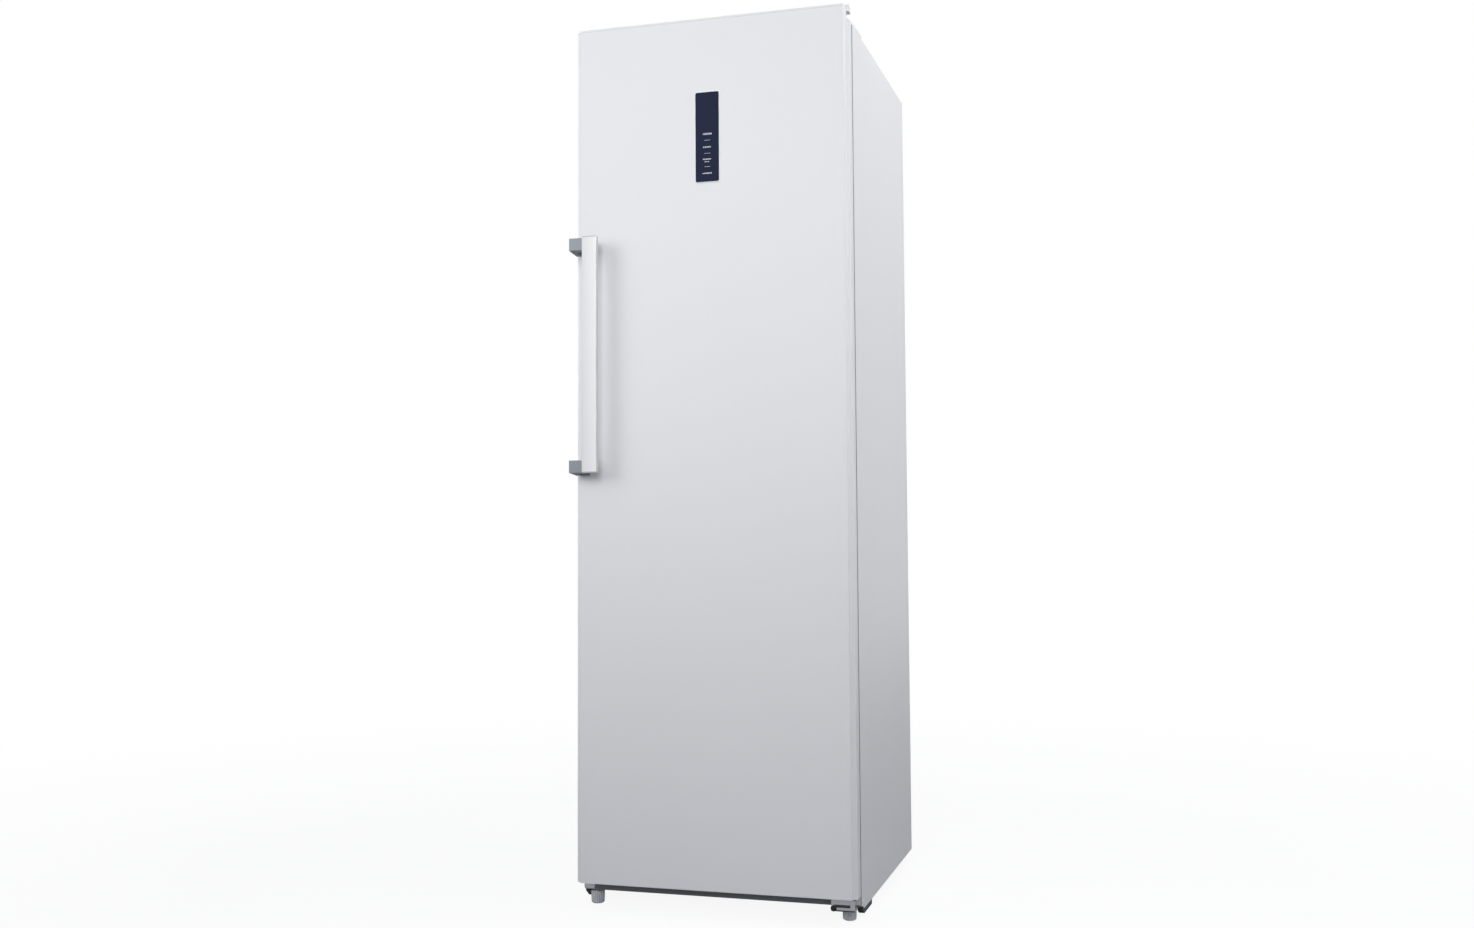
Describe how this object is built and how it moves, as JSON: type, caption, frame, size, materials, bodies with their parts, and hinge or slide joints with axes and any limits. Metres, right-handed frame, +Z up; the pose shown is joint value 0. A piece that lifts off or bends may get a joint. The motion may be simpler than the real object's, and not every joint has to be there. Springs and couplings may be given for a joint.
{
  "type": "upright freezer",
  "caption": "Tall free-standing white freezer with one hinged door, side-mounted bar handle, door display, clear drawers and flaps inside, and a cooling system behind.",
  "frame": {"origin": "on the floor, at the centre of the footprint of the whole object with its handle", "axes": "+X to the right seen from the front, +Y to the back, +Z up; the door faces -Y"},
  "size_m": [0.595, 0.693, 1.855],
  "materials": {
    "white_paint": "gloss",
    "white_plastic": "satin",
    "liner_white": "satin",
    "zinc_sheet": "satin",
    "grey_paint": "satin",
    "black_plastic": "matte",
    "grey_plastic": "satin",
    "insulation": "matte",
    "coil_aluminium": "satin",
    "heater_steel": "satin",
    "lamp_lens": "gloss",
    "shelf_glass": "gloss",
    "trim_plastic": "satin",
    "compressor_paint": "gloss",
    "rubber_black": "matte",
    "gasket_rubber": "matte",
    "copper": "satin",
    "board_green": "satin",
    "steel": "satin",
    "dark_steel": "satin",
    "display_black": "gloss",
    "handle_silver": "satin",
    "bracket_grey": "satin",
    "clear_plastic": "gloss"
  },
  "bodies": {
    "cabinet": {"left_side_panel": "white_paint", "right_side_panel": "white_paint", "top_panel": "white_paint", "back_panel": "zinc_sheet", "base_pan": "zinc_sheet", "front_crossmember": "zinc_sheet", "base_trim": "black_plastic", "corner_blocks": "black_plastic", "cabinet_foam": "insulation", "inner_liner": "liner_white", "shelf_rails": "liner_white", "duct_cover": "liner_white", "evaporator_coil": "coil_aluminium", "defrost_heater": "heater_steel", "fan_motor": "black_plastic", "lamp": "lamp_lens", "glass_shelves": "shelf_glass", "shelf_trims": "trim_plastic", "flap_brackets": "liner_white", "compressor_tray": "zinc_sheet", "compressor": "compressor_paint", "compressor_grommets": "rubber_black", "terminal_cover": "black_plastic", "evaporation_tray": "grey_plastic", "refrigerant_pipes": "copper", "machine_cover": "grey_paint", "cord_grommet": "rubber_black", "control_board": "board_green", "control_box_cover": "grey_paint", "roller_brackets": "steel", "top_hinge_plate": "steel", "top_hinge_pin": "dark_steel", "top_hinge_cover": "white_plastic", "bottom_hinge_plate": "steel", "bottom_hinge_pin": "steel", "cabinet_fasteners": "dark_steel"},
    "door": {"door_skin": "white_paint", "door_top_cap": "white_plastic", "door_bottom_cap": "white_plastic", "hinge_bushes": "grey_plastic", "door_liner": "liner_white", "door_foam": "insulation", "door_gasket": "gasket_rubber", "display_panel": "display_black", "display_housing": "white_plastic", "handle_bar": "handle_silver", "handle_brackets": "bracket_grey", "handle_screws": "steel"},
    "drawer_1": {"drawer_1": "clear_plastic"},
    "drawer_2": {"drawer_2": "clear_plastic"},
    "drawer_3": {"drawer_3": "clear_plastic"},
    "drawer_4": {"drawer_4": "clear_plastic"},
    "drawer_5": {"drawer_5": "clear_plastic"},
    "flap_1": {"flap_1": "clear_plastic"},
    "flap_2": {"flap_2": "clear_plastic"},
    "fan": {"fan_rotor": "white_plastic"},
    "front_foot_left": {"front_foot_left": "grey_plastic"},
    "front_foot_right": {"front_foot_right": "grey_plastic"},
    "rear_roller_left": {"rear_roller_left": "black_plastic"},
    "rear_roller_right": {"rear_roller_right": "black_plastic"}
  },
  "joints": [
    {"name": "door_hinge", "type": "hinge", "parent": "cabinet", "child": "door", "pos_m": [0.285, -0.2785, 0], "axis": [0, 0, 1], "range_deg": [0, 120]},
    {"name": "drawer_1_slide", "type": "slide", "parent": "cabinet", "child": "drawer_1", "axis": [0, -1, 0], "range_m": [0, 0.168]},
    {"name": "drawer_2_slide", "type": "slide", "parent": "cabinet", "child": "drawer_2", "axis": [0, -1, 0], "range_m": [0, 0.147]},
    {"name": "drawer_3_slide", "type": "slide", "parent": "cabinet", "child": "drawer_3", "axis": [0, -1, 0], "range_m": [0, 0.126]},
    {"name": "drawer_4_slide", "type": "slide", "parent": "cabinet", "child": "drawer_4", "axis": [0, -1, 0], "range_m": [0, 0.105]},
    {"name": "drawer_5_slide", "type": "slide", "parent": "cabinet", "child": "drawer_5", "axis": [0, -1, 0], "range_m": [0, 0.084]},
    {"name": "flap_1_hinge", "type": "hinge", "parent": "cabinet", "child": "flap_1", "pos_m": [0, -0.1835, 1.4587], "axis": [-1, 0, 0], "range_deg": [0, 39]},
    {"name": "flap_2_hinge", "type": "hinge", "parent": "cabinet", "child": "flap_2", "pos_m": [0, -0.1835, 1.74], "axis": [-1, 0, 0], "range_deg": [0, 39]},
    {"name": "fan_spin", "type": "hinge", "parent": "cabinet", "child": "fan", "pos_m": [0, 0.2375, 0.5974], "axis": [0, 1, 0], "continuous": true},
    {"name": "front_foot_left_turn", "type": "hinge", "parent": "cabinet", "child": "front_foot_left", "pos_m": [-0.2705, -0.2415, 0], "axis": [0, 0, 1], "continuous": true},
    {"name": "rear_roller_left_spin", "type": "hinge", "parent": "cabinet", "child": "rear_roller_left", "pos_m": [-0.2635, 0.2825, 0.016], "axis": [1, 0, 0], "continuous": true},
    {"name": "front_foot_right_turn", "type": "hinge", "parent": "cabinet", "child": "front_foot_right", "pos_m": [0.2705, -0.2415, 0], "axis": [0, 0, 1], "continuous": true},
    {"name": "rear_roller_right_spin", "type": "hinge", "parent": "cabinet", "child": "rear_roller_right", "pos_m": [0.2635, 0.2825, 0.016], "axis": [1, 0, 0], "continuous": true}
  ],
  "couplings": [
    {"joint": "drawer_1_slide", "follows": "door_hinge", "m_per_rad": 0.08},
    {"joint": "drawer_2_slide", "follows": "door_hinge", "m_per_rad": 0.07},
    {"joint": "drawer_3_slide", "follows": "door_hinge", "m_per_rad": 0.06},
    {"joint": "drawer_4_slide", "follows": "door_hinge", "m_per_rad": 0.05},
    {"joint": "drawer_5_slide", "follows": "door_hinge", "m_per_rad": 0.04},
    {"joint": "flap_1_hinge", "follows": "door_hinge", "ratio": 0.32},
    {"joint": "flap_2_hinge", "follows": "door_hinge", "ratio": 0.32}
  ]
}
